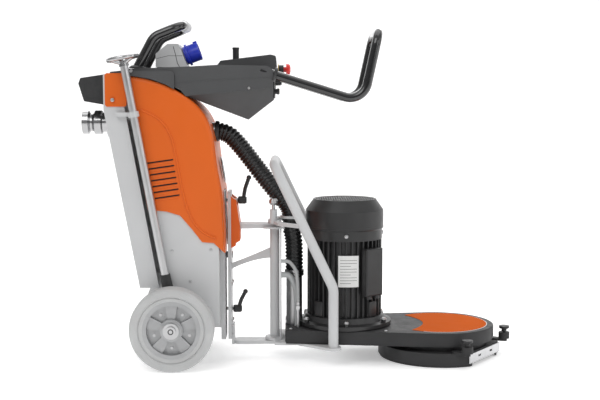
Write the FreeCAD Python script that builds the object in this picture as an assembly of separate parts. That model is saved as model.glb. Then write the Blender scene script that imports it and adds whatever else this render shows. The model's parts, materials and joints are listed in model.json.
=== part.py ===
"""Walk-behind edge floor grinder, modelled as separate pieces.

Millimetres. The floor is z = 0 and +X points forwards, from the upright
chassis towards the grinding head. The design stations below are measured
from the wheel axle; at the end every piece is moved back by half the overall
length, so that the origin lies on the floor under the middle of the machine.
"""
import FreeCAD
import Part
import math
import os

V = FreeCAD.Vector
X_AXIS = V(1, 0, 0)
Y_AXIS = V(0, 1, 0)
Z_AXIS = V(0, 0, 1)

# ---- clearances and fits -------------------------------------------------
RUN = 0.05            # radial running clearance of a pin or shaft in its hole
GAP = 0.4             # air between faces of pieces that move past each other
SEAT = 0.1            # air between pieces that only rest beside each other

CABINET_HALF = 136.0  # half the width of the upright cabinet

# ---- wheels and axle -------------------------------------------------------
TYRE_R = 125.0
TYRE_W = 62.0
TYRE_SEAT_R = 86.0
WHEEL_Y = CABINET_HALF + 71.0    # middle of each wheel
AXLE_R = 10.0
HUB_R = 34.0
BEARING_R = 21.0
BEARING_W = 12.0
SPOKES = 5
DRUM_R = 60.0         # parking brake drum on the right-hand wheel
DRUM_W = 31.0
AXLE_Z = TYRE_R

# ---- upright cabinet -------------------------------------------------------
SHEET = 2.5
COWL_WALL = 3.5
TOWER_SHEET = 3.0
DUCT_R = 27.0
DUCT_WALL = 3.0
DUCT_Z = 731.0
COUPLING_BORE_R = 25.0

# ---- brake rod -------------------------------------------------------------
ROD_R = 12.0
ROD_Y = -CABINET_HALF - 21.0
ROD_TILT = 10.4       # degrees back from upright
RING_R = 42.5
RING_BAR_R = 6.5

# ---- console and handles ---------------------------------------------------
CONSOLE_HALF = CABINET_HALF - 2.0
HANDLE_R = 14.0
HANDLE_Y = 118.0
LOOP_Y = 92.0
TILT_X = -120.0
TILT_Z = 886.5
TILT_PIN_R = 5.0

# ---- swinging linkage ------------------------------------------------------
POST_HALF = 42.0
PLATE_HALF = 46.0
PIVOT_Z = 319.0
PIVOT_R = 10.0
LEVER_UP_Z = 490.0
LEVER_LOW_Z = 148.0
LEVER_UP_X = 188.0    # where each clamp lever's hub starts
LEVER_LOW_X = 172.0
STUD_DEPTH = 12.0     # how far a stud goes into its lever's hub
STUD_R = 5.0
HINGE_X = 302.0
HINGE_R = 15.0
HINGE_BORE = 11.0
PLUNGER_R = 5.0
PLUNGER_DROP = 9.0
CLIP_X = HINGE_X + 50.0          # where the hose passes its clip
CLIP_Y = 14.0

# ---- grinding head ---------------------------------------------------------
MOTOR_PULLEY_R = 60.0
SPINDLE_PULLEY_R = 85.0
FLANGE_R = 146.0
FIN_R = 116.0
FAN_COWL_R = 119.0
HOSE_R = 28.0
MOTOR_X = CLIP_X + HOSE_R + FAN_COWL_R + 21.0
SPINDLE_X = MOTOR_X + 296.0
SHAFT_R = 14.0
SPINDLE_R = 15.0
COVER_R = 172.0
COVER_REAR_X = 335.0
COVER_REAR_HALF = 115.0
COVER_WALL = 3.0
COVER_LOW_Z = 66.0
COVER_TOP_Z = 102.0
DISC_R = 135.0
DISC_THICK = 8.0
SEGMENT_H = 12.0
HOOP_R = 15.0
HOOP_Y = 162.0
HOSE_PORT_X = 363.0
PORT_R = 25.0
PORT_COLLAR_R = 28.0
SHROUD_YAW = -35.0    # the front of the guard is turned towards the right
SHROUD_R = 188.0


# ---- building helpers ------------------------------------------------------
def box(x0, x1, y0, y1, z0, z1):
    """Block between two corners."""
    return Part.makeBox(x1 - x0, y1 - y0, z1 - z0, V(x0, y0, z0))


def rod(radius, start, end):
    """Round bar from one point to another."""
    run = end - start
    return Part.makeCylinder(radius, run.Length, start, run)


def ring(outer, inner, z0, z1, x=0.0, y=0.0):
    """Upright ring about the point x, y."""
    body = Part.makeCylinder(outer, z1 - z0, V(x, y, z0))
    return body.cut(Part.makeCylinder(inner, z1 - z0 + 2, V(x, y, z0 - 1)))


def join(shapes):
    """One solid from pieces that share volume."""
    shapes = list(shapes)
    body = shapes[0].multiFuse(shapes[1:]) if len(shapes) > 1 else shapes[0]
    return body.removeSplitter()


def group(shapes):
    """Separate solids kept in one sub-part."""
    solids = []
    for shape in shapes:
        solids.extend(shape.Solids)
    return Part.makeCompound(solids)


def face_of(points, plane, level):
    """Flat face through points, in the plane XZ (at y) or XY (at z)."""
    if plane == "XZ":
        corners = [V(a, level, b) for a, b in points]
    else:
        corners = [V(a, b, level) for a, b in points]
    return Part.Face(Part.makePolygon(corners + corners[:1]))


def side_prism(points, y0, y1):
    """Side outline given as (x, z), drawn out from y0 to y1."""
    return face_of(points, "XZ", y0).extrude(V(0, y1 - y0, 0))


def plan_prism(points, z0, z1):
    """Plan outline given as (x, y), drawn up from z0 to z1."""
    return face_of(points, "XY", z0).extrude(V(0, 0, z1 - z0))


def smooth(points, level, plane="XZ"):
    """Smooth curve through the points, as one edge."""
    if plane == "XZ":
        knots = [V(a, level, b) for a, b in points]
    else:
        knots = [V(a, b, level) for a, b in points]
    curve = Part.BSplineCurve()
    curve.interpolate(knots)
    return curve.toShape()


def edges_through(runs, level, plane="XZ"):
    """Closed face from runs: a run of two points is straight, more is a curve."""
    edges = []
    for points in runs:
        if len(points) == 2:
            ends = [V(a, level, b) if plane == "XZ" else V(a, b, level)
                    for a, b in points]
            edges.append(Part.makeLine(ends[0], ends[1]))
        else:
            edges.append(smooth(points, level, plane))
    return Part.Face(Part.Wire(Part.__sortEdges__(edges)))


def bent_path(points, radii):
    """Wire of straight runs joined by tangent arcs at the inner points."""
    edges = []
    start = points[0]
    for i in range(1, len(points) - 1):
        corner = points[i]
        back = (points[i - 1] - corner).normalize()
        ahead = (points[i + 1] - corner).normalize()
        half_turn = (math.pi - back.getAngle(ahead)) / 2
        reach = radii[i - 1] * math.tan(half_turn)
        first = corner + back * reach
        last = corner + ahead * reach
        inward = (back + ahead).normalize()
        depth = radii[i - 1] * (1 / math.cos(half_turn) - 1)
        edges.append(Part.makeLine(start, first))
        edges.append(Part.Arc(first, corner + inward * depth, last).toShape())
        start = last
    edges.append(Part.makeLine(start, points[-1]))
    return Part.Wire(edges)


def bent_bar(points, radii, radius):
    """Round bar along a path of straight runs and tangent arcs."""
    path = bent_path(points, radii)
    section = Part.Wire(Part.makeCircle(radius, points[0], points[1] - points[0]))
    return path.makePipeShell([section], True, True)


def bent_tube(points, radii, radius, bore):
    """Hollow bar along the same kind of path, open at both ends."""
    return bent_bar(points, radii, radius).cut(bent_bar(points, radii, bore))


def soft_radii(points):
    """Bend radii of a hose: as large as the two runs beside each point allow."""
    radii = []
    for i in range(1, len(points) - 1):
        back = points[i - 1] - points[i]
        ahead = points[i + 1] - points[i]
        half_turn = (math.pi - back.getAngle(ahead)) / 2
        radii.append(0.45 * min(back.Length, ahead.Length) / math.tan(half_turn))
    return radii


def turned(profile, centre, axis=Y_AXIS):
    """Solid of revolution from (radius, along) points about an axis."""
    corners = [V(r, 0, a) for r, a in profile]
    face = Part.Face(Part.makePolygon(corners + corners[:1]))
    body = face.revolve(V(0, 0, 0), Z_AXIS, 360)
    body.Placement = FreeCAD.Placement(centre, FreeCAD.Rotation(Z_AXIS, axis))
    return body


def spun(shape, degrees, centre, axis=Z_AXIS):
    """Copy of a shape turned about an axis."""
    copy = shape.copy()
    copy.rotate(centre, axis, degrees)
    return copy


def moved(shape, x=0.0, y=0.0, z=0.0):
    """Copy of a shape moved sideways."""
    copy = shape.copy()
    copy.translate(V(x, y, z))
    return copy


def long_edges(shape, test, radius):
    """Round the edges that pass a test; leave the shape if it has none."""
    chosen = [edge for edge in shape.Edges if test(edge)]
    return shape.makeFillet(radius, chosen) if chosen else shape


def polar(centre_x, centre_y, radius, degrees):
    """Point on a circle seen from above."""
    turn = math.radians(degrees)
    return centre_x + radius * math.cos(turn), centre_y + radius * math.sin(turn)


PARTS = {}


def keep(name, shape):
    """File a finished piece under its node name."""
    PARTS[name] = shape


# ---- upright chassis ---------------------------------------------------------
COWL_TOP = [(-128, 872), (-63, 861), (-18, 845), (26, 821), (56, 800), (98, 753),
            (116, 711), (130, 622), (145, 533), (151, 459), (155, 341)]
COWL_HALF = CABINET_HALF + 0.6 + COWL_WALL
COUPLING_X = -288.0
DUCT_EXIT = V(118, 0, 704)
DUCT_ROUTE = [V(-200, 0, DUCT_Z), V(-60, 0, DUCT_Z), V(40, 0, 706), DUCT_EXIT]


def duct_cut(extra):
    """Clearance bore along the dust duct, run out past both of its ends."""
    route = [V(-260, 0, DUCT_Z)] + DUCT_ROUTE[1:3] + [V(190, 0, 702)]
    return bent_bar(route, [120, 200], DUCT_R + extra)


def cabinet_shell():
    """Folded sheet box between the rear tower and the cowl, with axle bearings."""
    outline = [(136, 118), (136, 500), (112, 660), (66, 758), (10, 810), (-60, 840),
               (-108, 848), (-122, 800), (-28, 250), (-28, 118)]
    inner = [(136 - SHEET, 118 - 1), (136 - SHEET, 500), (110, 658), (64, 755), (8, 807),
             (-60, 837), (-106, 845), (-119.5, 800), (-28 + SHEET, 250), (-28 + SHEET, 117)]
    shell = side_prism(outline, -CABINET_HALF, CABINET_HALF)
    shell = shell.cut(side_prism(inner, SHEET - CABINET_HALF, CABINET_HALF - SHEET))
    ears = []
    for side in (-1, 1):
        middle = side * (CABINET_HALF - SHEET - 4)
        ear = side_prism([(-45, 96), (45, 96), (45, 170), (-45, 170)], middle - 4, middle + 4)
        ears.append(ear)
    boss = rod(AXLE_R + 10, V(0, -CABINET_HALF + SHEET, AXLE_Z),
               V(0, CABINET_HALF - SHEET, AXLE_Z))
    shell = join([shell] + ears + [boss])
    shell = shell.cut(rod(AXLE_R + RUN, V(0, -200, AXLE_Z), V(0, 200, AXLE_Z)))
    return shell.cut(duct_cut(GAP))


def rear_tower():
    """Upright channel behind the cabinet, open towards the front."""
    half = CABINET_HALF + 0.8
    outline = [(-203, 877), (-203, 772), (-102, 237), (-44, 237), (-141, 779), (-141, 877)]
    body = side_prism(outline, -half - TOWER_SHEET, half + TOWER_SHEET)
    hollow = [(-200, 890), (-200, 772), (-99.5, 240), (-30, 240), (-130, 779), (-130, 890)]
    body = body.cut(side_prism(hollow, -half, half))
    clip = rod(ROD_R + 4, rod_line(750), rod_line(766))
    arm = box(-165, -133, ROD_Y, 0.8 - half - TOWER_SHEET, 752, 764)
    reach = box(-133, -110, ROD_Y, -COWL_HALF - 0.5, 752, 764)
    body = join([body, clip, arm, reach])
    body = body.cut(duct_cut(GAP))
    return body.cut(rod_hole())


def rod_line(height):
    """Point on the brake rod's axis at a height."""
    lean = math.tan(math.radians(ROD_TILT))
    return V(-24 - lean * (height - 281), ROD_Y, height)


def rod_hole():
    """Running hole for the brake rod through its guides."""
    return rod(ROD_R + 0.08, rod_line(150), rod_line(890))


def cowl_profile(level):
    """Side outline of the cowl at one y: curved top, stepped lower edge."""
    lower = [(155, 341), (121, 373), (86, 376), (56, 415), (21, 456), (-18, 468), (-75, 474)]
    runs = [COWL_TOP]
    runs += [[lower[i], lower[i + 1]] for i in range(len(lower) - 1)]
    runs += [[(-75, 474), (-128, 779)], [(-128, 779), (-128, 872)]]
    return edges_through(runs, level)


def cowl():
    """Moulded cover over the front of the cabinet, with louvres in its sides."""
    outer = cowl_profile(-COWL_HALF).extrude(V(0, 2 * COWL_HALF, 0))
    outer = long_edges(outer, on_cowl_rim, 14)
    inset = [(a - COWL_WALL * 1.15, b - COWL_WALL * 1.15) for a, b in COWL_TOP]
    inset[0] = (-140, COWL_TOP[0][1] - COWL_WALL)
    inset[-1] = (COWL_TOP[-1][0] - COWL_WALL, 300)
    half = COWL_HALF - COWL_WALL
    runs = [inset, [inset[-1], (-140, 300)], [(-140, 300), inset[0]]]
    hollow = edges_through(runs, -half).extrude(V(0, 2 * half, 0))
    shell = outer.cut(hollow)
    shell = shell.cut(louvres())
    post_gap = PLATE_HALF + 2
    shell = shell.cut(box(120, 170, -post_gap, post_gap, 300, 524))
    shell = shell.cut(rod(HOSE_R + GAP, V(95, 0, 704.6), V(160, 0, 702.9)))
    return shell.cut(duct_cut(GAP))


def on_cowl_rim(edge):
    """True for the curved edges along the two sides of the cowl's top."""
    flat = abs(edge.BoundBox.YLength) < 0.01
    return flat and edge.BoundBox.ZLength > 300 and edge.BoundBox.XLength > 150


LOUVRES = 7
LOUVRE_PITCH = 17.6


def louvres():
    """Rising slots through both sides of the cowl."""
    cuts = []
    for i in range(LOUVRES):
        right = V(2 + i * 3.0, 0, 624 - i * LOUVRE_PITCH)
        left = V(-75 + i * 3.5, 0, 613 - i * LOUVRE_PITCH)
        slot = [(left.x, left.z - 2.4), (right.x, right.z - 2.4),
                (right.x, right.z + 2.4), (left.x, left.z + 2.4)]
        cuts.append(side_prism(slot, -COWL_HALF - 5, -COWL_HALF + 20))
        cuts.append(side_prism(slot, COWL_HALF - 20, COWL_HALF + 5))
    return Part.makeCompound(cuts)


def corner_plates():
    """Orange plates on the tower's sides beside the cowl's top corners."""
    inside = CABINET_HALF + 0.8 + TOWER_SHEET + SEAT
    plates = []
    for side in (-1, 1):
        low = min(side * inside, side * (inside + SHEET))
        plate = box(-198, -134, low, low + SHEET, 781, 880)
        plate = long_edges(plate, lambda edge: edge.BoundBox.YLength > SHEET - 0.1, 8)
        screw = rod(7, V(-175, side * inside, 801), V(-175, side * (inside + 4), 801))
        plates.append(plate.fuse(screw))
    return group(plates)


def tipping_bumper():
    """Rubber block behind the top, that the machine rests on when it is tipped."""
    outline = [(-203.2, 786), (-267, 797), (-283, 850), (-277, 866), (-203.2, 877)]
    block = side_prism(outline, -110, 110)
    return long_edges(block, lambda edge: edge.BoundBox.XMax < -210, 8)


def dust_coupling():
    """Turned hose coupling: collar, groove, body and fixing flange."""
    profile = [(COUPLING_BORE_R, 0), (36, 0), (36, 18), (27, 24), (27, 30), (37, 38),
               (37, 58), (30, 62), (30, 78), (46, 78), (46, 84.8), (COUPLING_BORE_R, 84.8)]
    return turned(profile, V(COUPLING_X, 0, DUCT_Z), X_AXIS)


def dust_duct():
    """Steel pipe from the coupling through the cabinet to the hose."""
    return bent_tube(DUCT_ROUTE, [120, 200], DUCT_R, DUCT_R - DUCT_WALL)


def front_post():
    """Channel on the cabinet's front, with the pivot stud and two clamping studs."""
    body = box(136.2, 150, -POST_HALF, POST_HALF, 58, 520)
    body = body.cut(box(130, 146, 4 - POST_HALF, POST_HALF - 4, 50, 514))
    stud = rod(PIVOT_R, V(146, 0, PIVOT_Z), V(172, 0, PIVOT_Z))
    studs = [rod(STUD_R, V(146, 0, level), V(hub_x + STUD_DEPTH, 0, level))
             for level, hub_x in ((LEVER_UP_Z, LEVER_UP_X), (LEVER_LOW_Z, LEVER_LOW_X))]
    body = join([body, stud] + studs)
    foot = box(60, 136.2, -POST_HALF, POST_HALF, 96, 117.5)
    foot = foot.cut(box(50, 132, 6 - POST_HALF, POST_HALF - 6, 90, 112))
    return join([body, foot])


def wheel_axle():
    """Through axle with a washer and a bolt head at each end."""
    bar = rod(AXLE_R, V(0, -WHEEL_Y - 34, AXLE_Z), V(0, WHEEL_Y + 34, AXLE_Z))
    ends = []
    for side in (-1, 1):
        washer = V(0, side * (WHEEL_Y + 33), AXLE_Z)
        head = V(0, side * (WHEEL_Y + 36), AXLE_Z)
        tip = V(0, side * (WHEEL_Y + 42), AXLE_Z)
        ends.append(rod(24, washer, head))
        ends.append(rod(15, head, tip))
    return join([bar] + ends)


def drive_unit():
    """Frequency drive inside the cabinet, on its cooling plate."""
    case = box(-8, 104, -70, 70, 190, 410)
    fins = [box(104, 128, y, y + 3, 200, 400) for y in range(-66, 66, 11)]
    base = box(-14, -8, -90, 90, 180, 420)
    return join([case, base] + fins)


def rod_boot():
    """Rubber boot and its arm, that guide the brake rod's lower end."""
    low = rod_line(239)
    high = rod_line(281)
    sleeve = Part.makeCone(17, 15, (high - low).Length, low, high - low)
    arm = box(-30, -12, ROD_Y + ROD_R - 3, -CABINET_HALF - SEAT, 250, 270)
    return join([sleeve, arm]).cut(rod_hole())


# ---- wheels and brake --------------------------------------------------------
def tyre(side):
    """Solid tyre with a shallow groove round each flank."""
    half = TYRE_W / 2
    flank = [(TYRE_SEAT_R, half - 7), (96, half - 4), (98, half - 6), (101, half - 1.5),
             (105, half), (118, half), (123, half - 4), (TYRE_R, half - 9)]
    profile = flank + [(r, -a) for r, a in reversed(flank)]
    return turned(profile, V(0, side * WHEEL_Y, AXLE_Z))


def rim(side):
    """Cast rim: ring, five wide spokes, a thin web and the hub."""
    half = TYRE_W / 2 - 7
    ring_part = turned([(74, -half), (TYRE_SEAT_R - SEAT, -half), (TYRE_SEAT_R - SEAT, half),
                        (74, half)], V(0, 0, 0))
    hub = turned([(AXLE_R + 4, -26), (HUB_R, -26), (HUB_R, 26), (AXLE_R + 4, 26)], V(0, 0, 0))
    web = turned([(HUB_R - 2, -4), (75, -4), (75, 4), (HUB_R - 2, 4)], V(0, 0, 0))
    pieces = [ring_part, hub, web]
    for i in range(SPOKES):
        spoke = side_prism([(HUB_R - 3, -11), (76, -19), (76, 19), (HUB_R - 3, 11)], -15, 15)
        pieces.append(spun(spoke, -90 - 360 / SPOKES * i, V(0, 0, 0), Y_AXIS))
    body = join(pieces)
    for end in (-1, 1):
        seat = rod(BEARING_R, V(0, end * 26.5, 0), V(0, end * (26 - BEARING_W), 0))
        body = body.cut(seat)
    body = moved(body, 0, side * WHEEL_Y, AXLE_Z)
    return group([body, drum()]) if side < 0 else body


def drum():
    """Round brake drum on the inner face of the right-hand wheel."""
    inner = -WHEEL_Y + 26 + SEAT
    profile = [(HUB_R - 8, 0), (DRUM_R, 0), (DRUM_R, DRUM_W), (DRUM_R - 6, DRUM_W),
               (DRUM_R - 6, 5), (HUB_R - 8, 5)]
    return turned(profile, V(0, inner, AXLE_Z))


def wheel_bearings():
    """Two ball bearings in each wheel, each a closed ring."""
    rings = []
    for middle in (-WHEEL_Y, WHEEL_Y):
        for end in (-1, 1):
            place = V(0, middle + end * (26 - BEARING_W / 2), AXLE_Z)
            profile = [(AXLE_R + SEAT, -BEARING_W / 2), (BEARING_R - RUN, -BEARING_W / 2),
                       (BEARING_R - RUN, BEARING_W / 2), (AXLE_R + SEAT, BEARING_W / 2)]
            rings.append(turned(profile, place))
    return group(rings)


ROD_FOOT_Z = AXLE_Z + DRUM_R + 1.5
ROD_TOP_Z = 900.0


def brake_rod():
    """Steel rod whose foot stands just above the drum and is pushed down on it."""
    return rod(ROD_R, rod_line(ROD_FOOT_Z), rod_line(ROD_TOP_Z))


def ring_handle():
    """Polished pull ring on the rod, with a hub and three spokes."""
    along = (rod_line(ROD_TOP_Z) - rod_line(ROD_FOOT_Z)).normalize()
    base = rod_line(ROD_TOP_Z) + along * SEAT
    centre = base + along * 24
    hoop = Part.makeTorus(RING_R, RING_BAR_R, centre, along)
    hub = Part.makeCone(ROD_R + 3, ROD_R + 1, 16, base, along)
    pieces = [hoop, hub]
    side = along.cross(Y_AXIS).normalize()
    for i in range(3):
        turn = math.radians(90 + 120 * i)
        out = side * math.cos(turn) + Y_AXIS * math.sin(turn)
        pieces.append(rod(5, base + along * 8 + out * 6, centre + out * RING_R))
    return join(pieces)


# ---- console -----------------------------------------------------------------
SPLIT = [(40, 812), (85, 817), (261, 834), (300, 839)]
CONSOLE_FRONT = 300.0
HANDLE_ROUTE = [V(262, -HANDLE_Y, 888), V(569, -HANDLE_Y, 793), V(614, -HANDLE_Y, 1002),
                V(614, HANDLE_Y, 1002), V(569, HANDLE_Y, 793), V(262, HANDLE_Y, 888)]
HANDLE_BENDS = [52, 40, 40, 52]
LOOP_ROUTE = [V(-116, -LOOP_Y, 881), V(-57, -LOOP_Y, 990), V(28, -LOOP_Y, 1024),
              V(28, LOOP_Y, 1024), V(-57, LOOP_Y, 990), V(-116, LOOP_Y, 881)]
LOOP_BENDS = [50, 38, 38, 50]


def console_section(z_low, z_high, points, x0=-150, x1=330):
    """Prism along X whose sides lean in as the moulding does."""
    corners = [(-y, z) for y, z in points] + [(y, z) for y, z in reversed(points)]
    wire = Part.makePolygon([V(x0, y, z) for y, z in corners + corners[:1]])
    return Part.Face(wire).extrude(V(x1 - x0, 0, 0))


def console_shell():
    """Upper moulding of the console, with the raised pod on the left."""
    rear = TILT_X - 10
    outline = [(rear, 880), (rear, 893), (55, 900), (137, 905), (284, 902), (294, 895),
               (CONSOLE_FRONT, 888)] + SPLIT[::-1] + [(26, 829), (-18, 852), (-63, 868)]
    body = side_prism(outline, -CONSOLE_HALF, CONSOLE_HALF)
    sides = [(CONSOLE_HALF - 5, 910), (CONSOLE_HALF, 866), (CONSOLE_HALF - 1, 800)]
    body = body.common(console_section(800, 910, sides))
    cavity = [(rear + 22, 886), (rear + 22, 889), (55, 895.5), (137, 900.5), (280, 897.5),
              (295, 884), (295, 843), (85, 822), (44, 818), (30, 833), (-14, 857), (-60, 873)]
    body = body.cut(side_prism(cavity, 6 - CONSOLE_HALF, CONSOLE_HALF - 6))
    body = body.cut(box(290, 305, -88, 88, 850, 880))
    pod = side_prism([(118, 898), (135, 921), (290, 940), (306, 936), (311, 880), (297, 880),
                      (280, 899)], 15, 128)
    pod = long_edges(pod, lambda edge: edge.BoundBox.YLength > 100 and edge.BoundBox.ZMin > 919, 5)
    body = join([body, pod])
    for side in (-1, 1):
        body = body.cut(handle_bar(side, SEAT))
    body = body.cut(rod(10 + SEAT, V(180, 75, POST_SEAT_Z - SEAT), V(180, 75, 960)))
    body = body.cut(rod(TILT_PIN_R + RUN, V(TILT_X, -200, TILT_Z), V(TILT_X, 200, TILT_Z)))
    return body


def handle_bar(side, extra):
    """The first straight run of the handlebar on one side, for its socket."""
    start = V(HANDLE_ROUTE[0].x, side * HANDLE_Y, HANDLE_ROUTE[0].z)
    end = V(HANDLE_ROUTE[1].x, side * HANDLE_Y, HANDLE_ROUTE[1].z)
    first = start - (end - start).normalize() * extra
    return rod(HANDLE_R + extra, first, end)


def console_underside():
    """Wedge-shaped lower moulding of the console, open towards the shell."""
    top = [(a, b - SEAT) for a, b in SPLIT]
    outline = top + [(CONSOLE_FRONT, 800), (224, 741), (102, 788), (72, 800), (52, 808)]
    body = side_prism(outline, -CONSOLE_HALF, CONSOLE_HALF)
    body = body.common(console_section(741, 840, [(CONSOLE_HALF - 2, 845), (70, 740)]))
    inner = [(72, 820), (300 - 5, 845), (300 - 5, 804), (223, 746.5), (104, 793), (76, 804)]
    hollow = side_prism(inner, -CONSOLE_HALF, CONSOLE_HALF)
    hollow = hollow.common(console_section(741, 850, [(CONSOLE_HALF - 6, 846), (66, 744)]))
    return body.cut(hollow)


def control_panel():
    """Front plate with bosses for its switches."""
    plate = box(CONSOLE_FRONT + SEAT, CONSOLE_FRONT + 4, -96, 96, 806, 878)
    plate = long_edges(plate, lambda edge: edge.BoundBox.XLength > 3, 6)
    bosses = [plate]
    for y in (-70, -40, -10, 20):
        bosses.append(rod(8, V(CONSOLE_FRONT + 2, y, 826), V(CONSOLE_FRONT + 12, y, 826)))
    body = join(bosses)
    return body.cut(rod(4 + RUN, V(290, -55, 857), V(320, -55, 857)))


def handlebar():
    """Bent operator's handle."""
    return bent_bar(HANDLE_ROUTE, HANDLE_BENDS, HANDLE_R)


def lift_loop():
    """Bent lifting and tipping handle over the rear of the console."""
    bar = bent_bar(LOOP_ROUTE, LOOP_BENDS, HANDLE_R)
    return bar.cut(box(-200, 50, -200, 200, 800, 895.3))


def inlet_housing():
    """Angled housing of the mains inlet."""
    outline = [(-58, 899.5), (-58, 940), (-22, 970), (12, 970), (38, 901.5), (38, 899.5)]
    body = side_prism(outline, -45, 45)
    return long_edges(body, lambda edge: edge.BoundBox.YLength > 80 and edge.BoundBox.ZMin > 930, 6)


def inlet_shroud():
    """Round plug shroud with its key and three pins."""
    along = V(0.939, 0, 0.344)
    start = V(27, 0, 934) + along * 1.5
    tube = rod(28, start, start + along * 47)
    tube = tube.cut(rod(24, start + along * 6, start + along * 60))
    lug = box(0, 12, -5, 5, 26, 32)
    lug.Placement = FreeCAD.Placement(start + along * 35, FreeCAD.Rotation(Y_AXIS, -20.1))
    pins = []
    for i in range(3):
        turn = math.radians(120 * i + 30)
        offset = V(-0.344, 0, 0.939) * (14 * math.cos(turn)) + Y_AXIS * (14 * math.sin(turn))
        pins.append(rod(3, start + along * 4 + offset, start + along * 40 + offset))
    return join([tube, lug] + pins)


POST_SEAT_Z = 915.0


def cable_post():
    """Upright peg that keeps the mains lead off the floor."""
    pole = rod(10, V(180, 75, POST_SEAT_Z), V(180, 75, 962))
    cap = rod(11, V(180, 75, 958), V(180, 75, 964))
    return long_edges(join([pole, cap]), lambda edge: edge.BoundBox.ZMin > 963.9, 2)


def tilt_pivot():
    """Pin that the console tilts on, with a head at each end."""
    reach = CABINET_HALF + 4.6
    bar = rod(TILT_PIN_R, V(TILT_X, -reach, TILT_Z), V(TILT_X, reach, TILT_Z))
    return bar


def emergency_collar():
    """Fixed yellow-ringed collar of the emergency stop."""
    return rod(14, V(312, 80, 895), V(330, 80, 895)).cut(rod(8.2, V(310, 80, 895), V(340, 80, 895)))


def emergency_button():
    """Mushroom button that travels into its collar."""
    stem = rod(8.1, V(318, 80, 895), V(342, 80, 895))
    head = turned([(0, 0), (17.5, 0), (17.5, 8), (14, 12), (6, 14), (0, 14)],
                  V(338, 80, 895), X_AXIS)
    return join([stem, head])


def speed_knob():
    """Turning knob on the control panel."""
    shaft = rod(4, V(298, -55, 857), V(308, -55, 857))
    grip = rod(13, V(305, -55, 857), V(322, -55, 857))
    rib = box(306, 325, -56.5, -53.5, 846, 868)
    return join([shaft, grip, rib])


def top_cap():
    """Dark cheeks beside the console's rear, joined by a rear wall."""
    inner = CABINET_HALF + 0.6
    outer = inner + 5
    rear = [(-182, 881), (-182, 884), (-153, 887), (-1, 887), (7, 879), (7, 832)]
    lower = [(-18, 846.5), (-63, 862.5), (-128, 874), (-133, 881)]
    cheeks = []
    for side in (-1, 1):
        low = min(side * inner, side * outer)
        cheeks.append(side_prism(rear + lower, low, low + 5))
    wall = box(-182, -140, -inner - 3, inner + 3, 877.5, 884)
    body = join(cheeks + [wall])
    return body.cut(rod(TILT_PIN_R + RUN, V(TILT_X, -200, TILT_Z), V(TILT_X, 200, TILT_Z)))


# ---- swinging linkage between the post and the head --------------------------
PLATE_X0 = 158.0
PLATE_X1 = 168.0
ARM_TOP_Z = 404.0
ARM_THICK = 14.0
LOW_ARM_Z = 40.0
BASE_Z0 = 52.0
BASE_Z1 = 60.0
FORK_Z0 = 420.0
FORK_Z1 = 430.0
STRAP_Z = 432.0
UPRIGHT_X = HINGE_X + HINGE_R + 2.0
INDEX_R = 37.0
INDEX_TURN = -95.0
INDEX_PLATE = 5.0
SLOT_HALF = 22.0


def strap(x0, y0, r0, x1, y1, r1, z0, z1):
    """Flat link round two circles, with tangent sides."""
    run = math.hypot(x1 - x0, y1 - y0)
    aim = math.atan2(y1 - y0, x1 - x0)
    lean = math.acos((r0 - r1) / run)
    corners = []
    for sign in (1, -1):
        turn = math.degrees(aim + sign * lean)
        pair = [polar(x0, y0, r0, turn), polar(x1, y1, r1, turn)]
        corners += pair if sign > 0 else pair[::-1]
    web = plan_prism(corners, z0, z1)
    ends = [Part.makeCylinder(r0, z1 - z0, V(x0, y0, z0)),
            Part.makeCylinder(r1, z1 - z0, V(x1, y1, z0))]
    return join([web] + ends)


def roll_slots():
    """Slots that let the plate roll past the two clamp studs."""
    cuts = []
    for level in (LEVER_UP_Z, LEVER_LOW_Z):
        cuts.append(box(150, 215, -SLOT_HALF, SLOT_HALF, level - 7, level + 7))
    return Part.makeCompound(cuts)


def pendulum_plate():
    """Plate that rolls on the post's pivot to follow the floor."""
    plate = box(PLATE_X0, PLATE_X1, -PLATE_HALF, PLATE_HALF, 58, 520)
    plate = long_edges(plate, lambda edge: edge.BoundBox.XLength > 9, 10)
    plate = plate.cut(rod(PIVOT_R + RUN, V(150, 0, PIVOT_Z), V(180, 0, PIVOT_Z)))
    return plate.cut(roll_slots())


def pivot_guard():
    """Orange guard over the upper half of the plate."""
    outline = [(PLATE_X1 + SEAT, 505), (184, 493), (196, 412), (196, 368), (182, 360),
               (182, 352), (PLATE_X1 + SEAT, 345)]
    inner = [(150, 502), (182, 489), (193, 412), (193, 371), (179, 362), (179, 355), (150, 348)]
    body = side_prism(outline, -PLATE_HALF, PLATE_HALF)
    body = body.cut(side_prism(inner, 3 - PLATE_HALF, PLATE_HALF - 3))
    body = body.cut(box(150, 215, -SLOT_HALF, SLOT_HALF, LEVER_UP_Z - 16, LEVER_UP_Z + 30))
    return body.cut(upper_arm(SEAT))


def upper_arm(extra):
    """Upper link from the plate to the vertical hinge post."""
    return strap(PLATE_X1 + 34, 0, 34 + extra, HINGE_X, 0, HINGE_R + 4 + extra,
                 ARM_TOP_Z - extra, ARM_TOP_Z + ARM_THICK + extra)


def index_plate():
    """Drilled sector beside the hinge post, just under the dropped plunger."""
    top = ARM_TOP_Z + ARM_THICK - PLUNGER_DROP
    sector = Part.makeCylinder(INDEX_R + 10, INDEX_PLATE, V(0, 0, 0), Z_AXIS, 92)
    sector.rotate(V(0, 0, 0), Z_AXIS, INDEX_TURN - 46)
    sector.translate(V(HINGE_X, 0, top - INDEX_PLATE))
    for step in (-30, -15, 0, 15, 30):
        x, y = polar(HINGE_X, 0, INDEX_R, INDEX_TURN + step)
        sector = sector.cut(rod(PLUNGER_R - 1, V(x, y, 300), V(x, y, 500)))
    return sector.cut(upper_arm(SEAT))


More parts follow.
